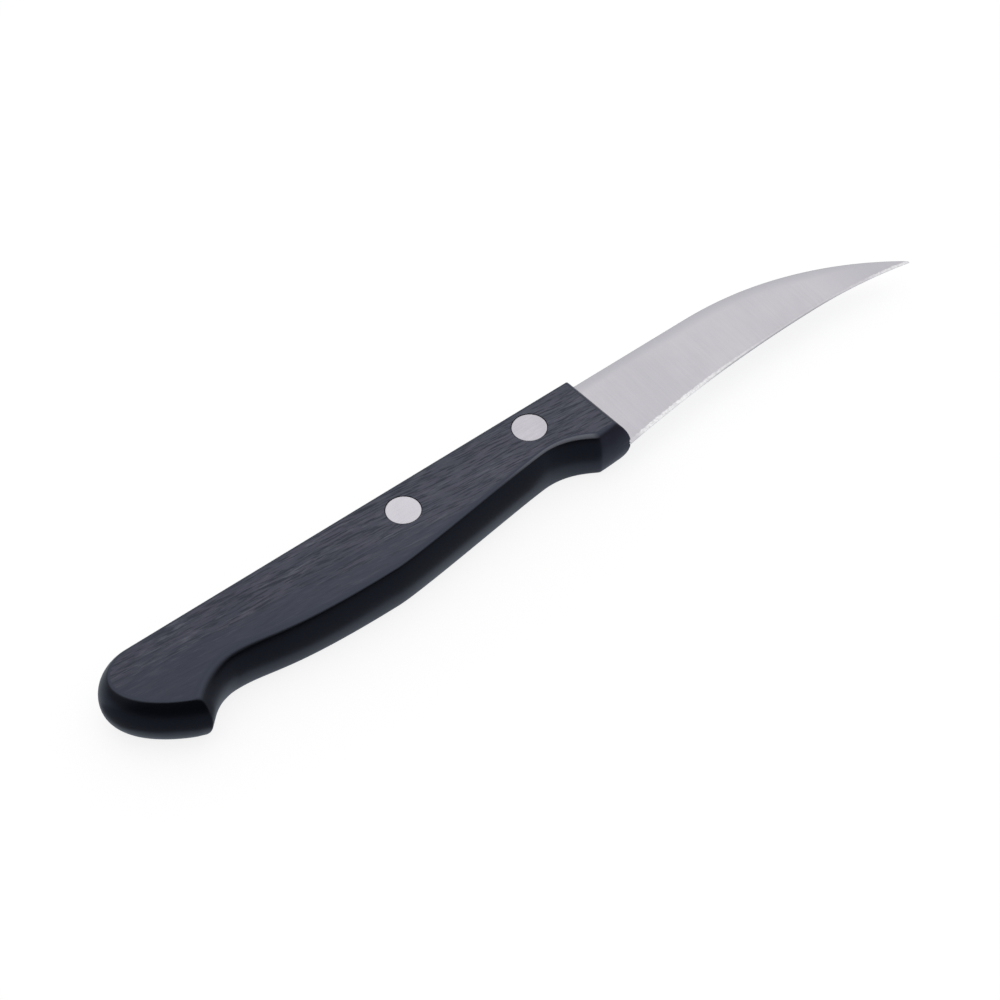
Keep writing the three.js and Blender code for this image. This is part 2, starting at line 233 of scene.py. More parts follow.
@labelled
class RivetSizes(bpy.types.PropertyGroup):
    """The two compression rivets"""

    head_diameter: distance("Across a head", 6)
    head_thickness: distance("Depth of a head", 2.2)
    head_round: distance("Rounding of a head's rim", 0.12)
    set_down: distance("Heads below the flat sides", 0.03)
    seat_gap: distance("Room under a head", 0.05)
    post_diameter: distance("Solid half's post", 2.6)
    post_gap: distance("Room between post and barrel", 0.05)
    barrel_wall: distance("Wall of the hollow half's barrel", 0.65)
    end_gap: distance("Room past the end of a post or a barrel", 0.3)
    sides: number("Flats round a rivet", 72)


@labelled
class Finishes(bpy.types.PropertyGroup):
    """Colours of the dyed wood and of the steels, and how the grain lies"""

    # Pores, and the painted shade that darkens the handle towards the butt.
    wood_pores_and_painted_shade: colour("Pores, and the tone towards the butt", 0.0125, 0.0125, 0.02)
    # Pale flecks of the grain, and the painted light that brightens the handle towards its front.
    wood_flecks_and_painted_light: colour("Pale flecks of the grain", 0.135, 0.138, 0.166)
    wood_warm: colour("Stretches where the dye is warmer", 0.068, 0.0635, 0.086)
    wood_cool: colour("Stretches where the dye is cooler", 0.029, 0.034, 0.0475)
    wood_rim: colour("Wood where sanding has calmed the grain", 0.0235, 0.0285, 0.042)
    wood_edge: colour("Dyed wood of the rounded edge faces", 0.005, 0.0054, 0.0082)
    # Edge faces at the lip's front, lighter than the other edge faces.
    wood_end: colour("Edge faces of the lip, which took less dye", 0.022, 0.02, 0.034)
    # Painted highlight where the eased edge of the finger scoop catches the light.
    wood_worn: colour("Eased edges, sanded to a paler tone", 0.15, 0.153, 0.178)
    figure_line: distance("Where the figured grain gives way to calm wood", -1.8)
    wood_gloss: colour("Tint of the dyed wood's sheen", 0.66, 0.74, 1)
    steel: colour("Satin face of the blade", 0.575, 0.558, 0.592)
    # Darker grinding lines and handling marks, and the painted shade towards the tip and along the
    # spine.
    steel_lines_and_shade: colour("Darker grinding lines", 0.47, 0.465, 0.5)
    # Painted highlight on the ground edge bevel, near the heel and at the tip.
    bevel_highlight: colour("Freshly ground edge bevel", 0.92, 0.915, 0.925)
    # Painted shade along the cutting edge of the fore blade.
    fore_edge_shade: colour("Cutting edge of the fore blade", 0.3, 0.3, 0.32)
    rivet: colour("Satin face of the rivets", 0.63, 0.615, 0.655)
    # Darker polishing lines and handling marks, and the tone that darkens towards the front rivet.
    rivet_dark: colour("Darker polishing lines", 0.55, 0.535, 0.575)
    grain_turn: turn("How far the grain runs off towards the belly", 5)


@labelled
class StageLook(bpy.types.PropertyGroup):
    """Floor, light, cards and camera"""

    floor_size: distance("Width of the floor", 6000)
    floor_colour: colour("Pale floor", 0.25, 0.25, 0.25)
    floor_white: level("White that the floor adds where it is seen", 0.84)
    floor_mirrored: colour("Light that the floor adds in mirror images", 0.345, 0.385, 0.45)
    light_high: level("Light from the middle of the soft dome", 1.12)
    light_low: level("Light from the dome's far side", 0.16)
    light_falloff: level("How soon the dome dims away from its middle", 1.3)
    light_tilt: turn("How far the dome leans away from the camera", 30)
    card_size: distance("Reach of the cards that the handle mirrors", 600)
    low_card_colour: colour("Card that lies in front of the belly", 0.35, 0.375, 0.43)
    standing_card_colour: colour("Card in front of the butt", 0.01, 0.01, 0.01)
    standing_card_away: distance("Card that stands, from the spine edge", 60)
    azimuth: turn("Camera's turn from the knife's side towards its butt", 36.656)
    elevation: turn("Camera's height above the floor", 48.8)
    roll: turn("Camera's roll", -2.35)
    distance: distance("Camera to the point that it looks at", 741.64)
    aim_back: distance("Point looked at, behind the handle's front edge", 22.327)
    aim_down: distance("Point looked at, below the spine edge", 10.07)
    lens: FloatProperty(description="Camera's focal length", default=162, unit="CAMERA")


# Shapes

def datum():
    """The spine's front corner of the handle's flat sides, half-way between them."""
    sizes = bpy.context.scene.knife_handle
    return Vector((front_rivet.x + sizes.rivet_setback, front_rivet.y + sizes.rivet_depth,
                   middle_height))


def arc_drop(run, whole, drop):
    """How far an arc has left a line after `run`, where it ends `drop` away after `whole`."""
    bend = 2 * drop / (whole * whole + drop * drop)
    return bend * run * run / (1 + math.sqrt(max(1 - (bend * run) ** 2, 0)))


def steps(start, end, count):
    return [start + (end - start) * i / count for i in range(count + 1)]


def circle(centre, radius, z, sides):
    angles = [2 * math.pi * i / sides for i in range(sides)]
    return [Vector((centre.x + radius * math.cos(a), centre.y + radius * math.sin(a), z))
            for a in angles]


def quarter():
    """Angles of a small quarter turn."""
    return steps(0, math.pi / 2, ROUND_STEPS)


def deselect_all():
    if bpy.context.object and bpy.context.object.mode != "OBJECT":
        bpy.ops.object.mode_set(mode="OBJECT")
    bpy.ops.object.select_all(action="DESELECT")


def select_only(piece):
    deselect_all()
    piece.select_set(True)
    bpy.context.view_layer.objects.active = piece


def skin(name, rings, calm=None):
    """A closed skin over rings of equally many places: a circle, drawn out ring by ring. `calm` has
    a value for each ring, which its places keep as an attribute."""
    deselect_all()
    bpy.ops.mesh.primitive_circle_add(vertices=len(rings[0]), radius=MM, enter_editmode=True)
    bpy.ops.mesh.select_mode(type="VERT")
    piece = bpy.context.object
    piece.name = piece.data.name = name
    mesh = bmesh.from_edit_mesh(piece.data)
    order = mesh.verts.layers.int.new("order")
    mesh.verts.layers.float.new("calm")
    for i, vert in enumerate(mesh.verts):
        vert[order] = i
    for i, ring in enumerate(rings):
        if i:
            bmesh.update_edit_mesh(piece.data)
            bpy.ops.mesh.extrude_edges_move()
            mesh = bmesh.from_edit_mesh(piece.data)
        order, tone = mesh.verts.layers.int["order"], mesh.verts.layers.float["calm"]
        for vert in mesh.verts:
            if vert.select:
                vert.co = ring[vert[order]]
                vert[tone] = calm[i] if calm else 0
    bmesh.update_edit_mesh(piece.data)
    bpy.ops.mesh.edge_face_add()
    bpy.ops.mesh.select_all(action="DESELECT")
    bpy.ops.mesh.select_non_manifold()
    bpy.ops.mesh.edge_face_add()
    mesh = bmesh.from_edit_mesh(piece.data)
    mesh.verts.layers.int.remove(mesh.verts.layers.int["order"])
    bmesh.update_edit_mesh(piece.data)
    bpy.ops.mesh.select_all(action="SELECT")
    bpy.ops.mesh.normals_make_consistent(inside=False)
    if bmesh.from_edit_mesh(piece.data).calc_volume(signed=True) < 0:
        bpy.ops.mesh.flip_normals()
    bpy.ops.object.mode_set(mode="OBJECT")
    return piece


def select_flats(piece):
    """Selects the faces that look straight up or down at the piece's two ends, in edit mode."""
    bpy.ops.mesh.select_mode(type="FACE")
    bpy.ops.mesh.select_all(action="DESELECT")
    mesh = bmesh.from_edit_mesh(piece.data)
    heights = [vert.co.z for vert in mesh.verts]
    ends = (min(heights), max(heights))
    for face in mesh.faces:
        at_end = min(abs(face.calc_center_median().z - end) for end in ends) < TOGETHER
        if at_end and abs(face.normal.z) > UPRIGHT:
            face.select_set(True)
    bmesh.update_edit_mesh(piece.data)


def cut(piece, cutters):
    """Cuts the cutters out of the piece, removes them and joins places that fall together."""
    for cutter in cutters:
        select_only(piece)
        modifier = piece.modifiers.new("cut", "BOOLEAN")
        modifier.operation = "DIFFERENCE"
        modifier.solver = "EXACT"
        modifier.object = cutter
        bpy.ops.object.modifier_apply(modifier="cut")
        bpy.data.objects.remove(cutter)
    bpy.ops.object.mode_set(mode="EDIT")
    bpy.ops.mesh.select_all(action="SELECT")
    bpy.ops.mesh.remove_doubles(threshold=TOGETHER)
    bpy.ops.mesh.dissolve_degenerate(threshold=TOGETHER)
    bpy.ops.object.mode_set(mode="OBJECT")
    if not piece.data.polygons:
        raise RuntimeError(f"nothing is left of {piece.name}")


def finish_piece(piece, material, solid, smooth_below):
    """Shades the piece, gives it its finish and puts it in the place of its solid."""
    select_only(piece)
    bpy.ops.object.shade_smooth_by_angle(angle=math.radians(smooth_below))
    piece.data.materials.clear()
    piece.data.materials.append(material)
    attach(piece, "root")
    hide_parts(solid)


# Handle

def side_outline(sizes):
    """Stretches of a flat side's outline, counterclockwise from the spine's front corner: places,
    and the swell, the edge's rounding and the calm rim's width at their two ends."""
    def at(x, y):
        return Vector((x, y, 0))

    def along(start, end, run):
        return at(start.x + (end.x - start.x) * run, start.y)

    def towards(start, end, run, rise):
        return at(start.x + (end.x - start.x) * run, start.y + (end.y - start.y) * rise)

    def beside(start, angle, reach):
        return at(start.x + reach * math.cos(angle), start.y + reach * math.sin(angle))

    def line(a, b, count):
        return steps(a, b, count)[:-1]

    def bend(a, b, c, d, count=36):
        return interpolate_bezier(a, b, c, d, count + 1)[:-1]

    rear = -sizes.length
    corner = at(0, 0)
    spine_end = at(rear + sizes.butt_round, 0)
    butt = at(rear, -sizes.butt_height)
    hook = at(rear + sizes.hook_from_butt, -sizes.hook_height)
    wrist = at(rear + sizes.wrist_from_butt, -sizes.wrist_height)
    belly = at(-sizes.belly_from_front, -sizes.belly_height)
    scoop = at(-sizes.scoop_from_front, -sizes.scoop_height)
    lip_front = at(sizes.front_rake, -sizes.lip_height)
    lip_rear = at(sizes.front_rake - sizes.lip_length, -sizes.lip_height - sizes.lip_fall)

    spine_to_butt = along(spine_end, butt, REACH["spine"])
    butt_to_spine = towards(butt, spine_end, 0, REACH["butt_up"])
    butt_to_hook = towards(butt, hook, 0, REACH["butt_down"])
    hook_to_butt = towards(hook, butt, *REACH["hook_rear"])
    hook_to_wrist = beside(hook, sizes.hook_angle, REACH["hook_front"] * (wrist - hook).length)
    wrist_to_hook = along(wrist, hook, REACH["wrist_rear"])
    wrist_to_belly = along(wrist, belly, REACH["wrist_front"])
    belly_to_wrist = along(belly, wrist, REACH["belly_rear"])
    belly_to_scoop = along(belly, scoop, REACH["belly_front"])
    scoop_to_belly = along(scoop, belly, REACH["scoop_rear"])
    scoop_to_lip = along(scoop, lip_rear, REACH["scoop_front"])
    lip_to_scoop = beside(lip_rear, math.pi - sizes.lip_angle,
                          REACH["lip"] * (scoop - lip_rear).length)

    crisp, wide = sizes.crisp_round, sizes.calm_width
    narrow, medium, broad = 0.1 * wide, 0.4 * wide, 0.8 * wide
    at_spine = (sizes.spine_swell, crisp, narrow)
    at_front = (sizes.front_swell, crisp, narrow)
    at_butt = (sizes.butt_swell, crisp, medium)
    at_hook = (sizes.hook_swell, crisp, medium)
    in_hook = (sizes.hook_swell, sizes.hook_ease, medium)
    at_wrist = (sizes.wrist_swell, sizes.hook_ease, broad)
    at_belly = (sizes.belly_swell, sizes.belly_ease, wide)
    at_scoop = (sizes.belly_swell, sizes.scoop_ease, medium)
    at_lip = (sizes.belly_swell, sizes.lip_ease, narrow)
    return [
        (line(corner, spine_end, 40), at_spine, at_spine),
        (bend(spine_end, spine_to_butt, butt_to_spine, butt), at_spine, at_butt),
        (bend(butt, butt_to_hook, hook_to_butt, hook), at_butt, at_hook),
        (bend(hook, hook_to_wrist, wrist_to_hook, wrist), in_hook, at_wrist),
        (bend(wrist, wrist_to_belly, belly_to_wrist, belly), at_wrist, at_belly),
        (bend(belly, belly_to_scoop, scoop_to_belly, scoop), at_belly, at_scoop),
        (bend(scoop, scoop_to_lip, lip_to_scoop, lip_rear), at_scoop, at_lip),
        (line(lip_rear, lip_front, 6), at_lip, at_front),
        (line(lip_front, corner, 8), at_front, at_front),
    ]


def round_corners(ring, corners, reach):
    """The ring with the given corners cut back by `reach` on both sides and rounded."""
    rounded = []
    for i, place in enumerate(ring):
        if i not in corners:
            rounded.append(place)
            continue
        before, after = ring[i - 1] - place, ring[(i + 1) % len(ring)] - place
        near = min(reach, CORNER_SHARE * before.length, CORNER_SHARE * after.length)
        start, end = place + before.normalized() * near, place + after.normalized() * near
        for t in steps(0.0, 1.0, ROUND_STEPS):
            rounded.append(start.lerp(place, t).lerp(place.lerp(end, t), t))
    return rounded


def handle_rings(sizes):
    """The handle's outline at several heights, swollen between the flat sides and rounded over
    onto them, and how calm the grain is at each."""
    places, shapes = [], []
    for stretch, shape, next_shape in side_outline(sizes):
        places += stretch
        shapes += [Vector(shape).lerp(Vector(next_shape), i / len(stretch))
                   for i in range(len(stretch))]

    def outward(a, b):
        return Vector((b.y - a.y, a.x - b.x, 0)).normalized()

    def faces(i):
        return outward(places[i - 1], places[i]), outward(places[i], places[(i + 1) % len(places)])

    def is_corner(i):
        before, after = faces(i)
        return before.angle(after) > math.radians(CORNER_ANGLE)

    sharp = [place for i, place in enumerate(places) if is_corner(i)]
    kept = [i for i, place in enumerate(places) if place in sharp
            or all((place - corner).length > sizes.corner_clear for corner in sharp)]
    places, shapes = [places[i] for i in kept], [shapes[i] for i in kept]
    corners = {i for i, place in enumerate(places) if place in sharp}
    ways = [(before + after) / (1 + before.dot(after))
            for before, after in map(faces, range(len(places)))]
    half = sizes.thickness / 2

    def side(swell, z):
        return Vector((swell - arc_drop(z, half, swell), z))

    def profile(swell, ease, rim):
        """Reach past the outline and height, from the middle up the side and onto the flat side."""
        top = half - ROUND_DOWN * ease
        below = side(swell, top)
        edge, inside = Vector((0, half)), Vector((-ease, half))
        over = [below.lerp(edge, t).lerp(edge.lerp(inside, t), t) for t in steps(0.0, 1.0, 6)]
        flat = [Vector((-ease - rim * t, half)) for t in RIM_PLACES]
        return [*(side(swell, z) for z in steps(0.0, top, 7)), *over[1:], *flat]

    profiles = [profile(*shape) for shape in shapes]
    levels = range(len(profiles[0]))
    rings, calm = [], []
    for up, level in [(-1, k) for k in reversed(levels)] + [(1, k) for k in levels[1:]]:
        outwards = levels[-1] - level
        calm.append(CALM_OUTWARDS[outwards] if outwards < len(CALM_OUTWARDS) else 1)
        ring = [datum() + place + way * points[level].x + Vector((0, 0, up * points[level].y))
                for place, way, points in zip(places, ways, profiles)]
        rings.append(round_corners(ring, corners, sizes.corner_round))
    return rings, calm


def kerf_outline(handle, blade, past):
    """The saw cut for the tang in plan, run out past the handle's spine, front and lip."""
    gap = handle.kerf_gap
    spine = handle.spine_swell - blade.set_down
    foot, rear = spine - blade.tang_height - gap, -blade.tang_length - gap
    front, top = handle.front_swell + past, handle.spine_swell + past
    heel = handle.front_swell + handle.front_rake - blade.heel_set_back
    shoulder = spine - blade.heel_height + blade.heel_step - gap
    turn_x, turn_y = rear + blade.tang_corner, foot + blade.tang_corner
    corner = [(turn_x + blade.tang_corner * math.cos(a), turn_y + blade.tang_corner * math.sin(a))
              for a in steps(math.pi, 1.5 * math.pi, 10)]
    below = -blade.heel_height - past
    return [(front, top), (rear, top), *corner, (heel - blade.shoulder_length, foot),
            (heel - gap, shoulder), (heel - gap, below), (front, below)]


def rivet_hole(place):
    """What a rivet's hole takes out of handle and tang: a barrel's way and two head seats."""
    handle, rivets = bpy.context.scene.knife_handle, bpy.context.scene.knife_rivets
    half = handle.thickness / 2
    seat = half - rivets.head_thickness - rivets.set_down - rivets.seat_gap
    head = rivets.head_diameter / 2 + handle.hole_gap
    barrel = rivets.post_diameter / 2 + rivets.post_gap + rivets.barrel_wall + handle.hole_gap
    upper = [(seat, barrel), (seat, head), (2 * half, head)]
    lower = [(-z, radius) for z, radius in reversed(upper)]
    return skin("hole", [circle(place, radius, middle_height + z, rivets.sides)
                         for z, radius in lower + upper])


class KNIFE_OT_handle(bpy.types.Operator):
    """Shape the one-piece handle, ease its edges, saw the tang's kerf and bore the rivet holes"""

    bl_idname = "knife.shape_handle"
    bl_label = "Shape the handle"

    def execute(self, context):
        sizes, blade = context.scene.knife_handle, context.scene.knife_blade
        piece = skin("shaped_handle", *handle_rings(sizes))
        outline = kerf_outline(sizes, blade, sizes.thickness)
        deep = blade.thickness / 2 + sizes.kerf_gap
        kerf = skin("kerf", [[datum() + Vector((x, y, z)) for x, y in outline]
                             for z in (-deep, deep)])
        cut(piece, [kerf, rivet_hole(front_rivet), rivet_hole(rear_rivet)])
        finish_piece(piece, dyed_wood(context.scene.knife_finish), "handle", WOOD_SMOOTH)
        return {"FINISHED"}


# Blade

class BladeCurves:
    """The blade's spine and edge over x, measured from the datum."""

    def __init__(self, handle, blade):
        self.sizes = blade
        self.spine = handle.spine_swell - blade.set_down
        self.start = handle.front_swell
        self.tip = self.start + blade.length
        self.curve = self.start + blade.straight
        self.waist = self.tip - blade.waist_from_tip
        self.ground = self.start - blade.lap
        self.heel = handle.front_swell + handle.front_rake - blade.heel_set_back

    def top(self, x):
        run = max(x - self.curve, 0)
        return self.spine - arc_drop(run, self.tip - self.curve, self.sizes.tip_drop)

    def edge(self, x):
        sizes = self.sizes
        if x > self.waist:
            fall = arc_drop(x - self.waist, sizes.waist_from_tip,
                            sizes.tip_drop + sizes.tip_height - sizes.waist_height)
        else:
            fall = arc_drop(self.waist - x, self.waist - self.start,
                            sizes.heel_height - sizes.waist_height)
        return self.spine - sizes.waist_height - fall

    def foot(self, x):
        sizes = self.sizes
        rise = sizes.heel_height - sizes.heel_step - sizes.tang_height
        shoulder = max(x - (self.heel - sizes.shoulder_length), 0) * rise / sizes.shoulder_length
        corner = max(sizes.tang_corner - sizes.tang_length - x, 0)
        lift = sizes.tang_corner - math.sqrt(max(sizes.tang_corner ** 2 - corner ** 2, 0))
        return self.spine - sizes.tang_height - shoulder + lift

    def half_thickness(self, above):
        sizes = self.sizes
        edge, taper, full = sizes.edge_thickness / 2, sizes.grind_thickness / 2, sizes.thickness / 2
        if above < sizes.bevel_height:
            return edge + (taper - edge) * above / sizes.bevel_height
        rise = (above - sizes.bevel_height) / (sizes.grind_height - sizes.bevel_height)
        return taper + (full - taper) * min(rise, 1)

    def section(self, x, low, ground):
        """One closed ring across the blade: up one side from `low`, over the spine and down."""
        sizes = self.sizes
        top, edge = self.top(x), self.edge(x)
        height = top - low
        bevel = min(sizes.bevel_height, BEVEL_LIMIT * height)
        shoulder = min(sizes.grind_height, TAPER_LIMIT * height)
        line = BEVEL_LINE * bevel
        heights = [0, bevel / 2, bevel - line, bevel + line, *steps(bevel + line, shoulder, 8)[1:]]
        heights.append((shoulder + height) / 2)

        def thick(y):
            return self.half_thickness(y - edge) if ground else sizes.thickness / 2

        rounding = min(sizes.spine_round, 0.5 * thick(top))
        side = [(low + above, thick(low + above)) for above in heights]
        side += [(top - rounding + rounding * math.sin(a),
                  thick(top) - rounding + rounding * math.cos(a)) for a in quarter()]
        ring = side + [(y, -z) for y, z in reversed(side)]
        return [datum() + Vector((x, y, z)) for y, z in ring]

    def rings(self):
        sizes = self.sizes
        rear = -sizes.tang_length
        corner = [rear + sizes.tang_corner * (1 - math.cos(a)) for a in steps(0, math.pi / 2, 8)]
        shoulder = self.heel - sizes.shoulder_length
        tang = [*corner, *steps(corner[-1], shoulder, 16)[1:],
                *steps(shoulder, self.ground - SECTION_STEP, 6)[1:]]
        hidden = steps(self.ground, self.heel - SECTION_STEP, 2)
        blade = steps(self.heel, self.curve, 24) + steps(self.curve, self.tip, 56)[1:]
        return ([self.section(x, self.foot(x), False) for x in tang]
                + [self.section(x, self.foot(x), True) for x in hidden]
                + [self.section(x, self.edge(x), True) for x in blade])


class KNIFE_OT_blade(bpy.types.Operator):
    """Draw the blade and its tang out of the sheet, with the taper, the bevel and the rivet holes"""

    bl_idname = "knife.grind_blade"
    bl_label = "Grind the blade"

    def fan_tip(self, piece):
        """Fans the narrow end face at the tip out from its middle."""
        bpy.ops.object.mode_set(mode="EDIT")
        bpy.ops.mesh.select_mode(type="FACE")
        bpy.ops.mesh.select_all(action="DESELECT")
        mesh = bmesh.from_edit_mesh(piece.data)
        max(mesh.faces, key=lambda face: face.calc_center_median().x).select_set(True)
        bmesh.update_edit_mesh(piece.data)
        bpy.ops.mesh.poke()
        bpy.ops.object.mode_set(mode="OBJECT")

    def execute(self, context):
        sizes = context.scene.knife_blade
        curves = BladeCurves(context.scene.knife_handle, sizes)
        piece = skin("ground_blade", curves.rings())
        self.fan_tip(piece)
        cut(piece, [rivet_hole(front_rivet), rivet_hole(rear_rivet)])
        above = piece.data.attributes.new("above_edge", "FLOAT", "POINT")
        below = piece.data.attributes.new("below_spine", "FLOAT", "POINT")
        for i, vert in enumerate(piece.data.vertices):
            place = vert.co - datum()
            above.data[i].value = place.y - curves.edge(place.x)
            below.data[i].value = curves.top(place.x) - place.y
        finish_piece(piece, blade_steel(context.scene.knife_finish, sizes), "blade", STEEL_SMOOTH)
        return {"FINISHED"}


# Rivets

class KNIFE_OT_rivets(bpy.types.Operator):
    """Turn the post and the socket of both rivets"""

    bl_idname = "knife.turn_rivets"
    bl_label = "Turn the rivets"

    def execute(self, context):
        sizes = context.scene.knife_rivets
        half = context.scene.knife_handle.thickness / 2
        material = rivet_steel(context.scene.knife_finish)
        face = half - sizes.set_down
        end = 2 * half - 2 * sizes.set_down - sizes.head_thickness - sizes.end_gap
        head, post, rim = sizes.head_diameter / 2, sizes.post_diameter / 2, sizes.head_round
        bore = post + sizes.post_gap
        barrel = bore + sizes.barrel_wall
        rounded = [(-rim + rim * math.sin(a), head - rim + rim * math.cos(a)) for a in quarter()]
        cap = [(-sizes.head_thickness, head), *rounded]
        post_profile = [(-end, post - rim), (rim - end, post), (-sizes.head_thickness, post), *cap]
        socket_profile = [(-sizes.head_thickness, bore), (-end, bore), (-end, barrel),
                          (-sizes.head_thickness, barrel), *cap]
        halves = (("post", post_profile, 1), ("socket", socket_profile, -1))
        for name, place in (("front", front_rivet), ("rear", rear_rivet)):
            for half_name, profile, up in halves:
                rings = [circle(place, radius, middle_height + up * (face + z), sizes.sides)
                         for z, radius in profile]
                piece = skin(f"{name}_{half_name}", rings)
                bpy.ops.object.mode_set(mode="EDIT")
                select_flats(piece)
                bpy.ops.mesh.inset(thickness=FACE_INSET)
                bpy.ops.object.mode_set(mode="OBJECT")
                finish_piece(piece, material, f"rivet_{name}_{half_name}", STEEL_SMOOTH)
        return {"FINISHED"}


# Finishes

def node(tree, kind, inputs=None, **settings):
    """A new shader node with its settings, and with its inputs set or linked."""
    made = tree.nodes.new("ShaderNode" + kind)
    for name, value in settings.items():
        setattr(made, name, value)
    for name, value in (inputs or {}).items():
        if isinstance(value, bpy.types.NodeSocket):
            tree.links.new(value, made.inputs[name])
        else:
            made.inputs[name].default_value = value
    return made


def math_node(tree, operation, *values):
    return node(tree, "Math", dict(enumerate(values)), operation=operation).outputs[0]


def remap(tree, value, low, high, to_low=0.0, to_high=1.0):
    return node(tree, "MapRange", {0: value, 1: low, 2: high, 3: to_low, 4: to_high},
                interpolation_type="SMOOTHSTEP").outputs[0]


def span(tree, value, ends, unit, low=0.0, high=1.0):
    """Goes from `low` to `high` over a span whose two ends are given in the unit."""
    return remap(tree, value, ends[0] * unit, ends[1] * unit, low, high)


def product(tree, first, second):
    return math_node(tree, "MULTIPLY", first, second)


def add_share(tree, value, amount, base):
    """The base, and a given amount of the value on top."""
    return math_node(tree, "MULTIPLY_ADD", value, amount, base)


def blend(tree, factor, first, second):
    """A mix of two colours, given as three numbers or as a socket."""
    ends = [c if isinstance(c, bpy.types.NodeSocket) else (*c, 1) for c in (first, second)]
    return node(tree, "Mix", {0: factor, 6: ends[0], 7: ends[1]}, data_type="RGBA").outputs[2]


def scaled(tree, vector, *scale):
    return node(tree, "VectorMath", {0: vector, 1: scale}, operation="MULTIPLY").outputs[0]


def axis(tree, vector, name):
    return node(tree, "SeparateXYZ", {0: vector}).outputs[name]


def noise(tree, vector, detail=2.0, roughness=0.5, scale=1.0):
    return node(tree, "TexNoise", {"Vector": vector, "Scale": scale, "Detail": detail,
                                   "Roughness": roughness}).outputs[0]


def new_group(name, inputs, outputs):
    """An empty shader node group: the group, its inputs node and its outputs node."""
    group = bpy.data.node_groups.new(name, "ShaderNodeTree")
    for socket, kind in inputs.items():
        group.interface.new_socket(socket, in_out="INPUT", socket_type=kind)
    for socket, kind in outputs.items():
        group.interface.new_socket(socket, in_out="OUTPUT", socket_type=kind)
    return group, group.nodes.new("NodeGroupInput"), group.nodes.new("NodeGroupOutput")


def use_group(tree, group, **inputs):
    return node(tree, "Group", inputs, node_tree=group)


def satin_lines():
    """Fine ground lines: how bright each line is, and its height."""
    group = bpy.data.node_groups.get("Satin lines")
    if group:
        return group
    group, given, made = new_group(
        "Satin lines", {"Place": "NodeSocketVector", "Density": "NodeSocketVector"},
        {"Lines": "NodeSocketFloat", "Height": "NodeSocketFloat"})
    spread = node(group, "VectorMath",
                  {0: given.outputs["Place"], 1: given.outputs["Density"]},
                  operation="MULTIPLY").outputs[0]
    fine = noise(group, spread, 3, 0.6)
    group.links.new(remap(group, fine, 0.3, 0.7), made.inputs["Lines"])
    group.links.new(fine, made.inputs["Height"])
    return group


def handling_marks():
    """Faint smudges that handling leaves, from 0 to 1."""
    group = bpy.data.node_groups.get("Handling marks")
    if group:
        return group
    group, given, made = new_group(
        "Handling marks", {"Place": "NodeSocketVector", "Scale": "NodeSocketFloat"},
        {"Marks": "NodeSocketFloat"})
    cloud = noise(group, given.outputs["Place"], 4, 0.55, given.outputs["Scale"])
    group.links.new(remap(group, cloud, 0.35, 0.7), made.inputs["Marks"])
    return group


def new_material(name):
    """A material with its shader: the material, its tree, the shader and the place on the piece."""
    material = bpy.data.materials.new(name)
    material.use_nodes = True
    tree = material.node_tree
    shader = next(n for n in tree.nodes if n.type == "BSDF_PRINCIPLED")
    return material, tree, shader, node(tree, "TexCoord").outputs["Object"]


def raise_relief(tree, shader, height, depth):
    bump = node(tree, "Bump", {"Height": height, "Strength": 0.3, "Distance": depth})
    tree.links.new(bump.outputs[0], shader.inputs["Normal"])


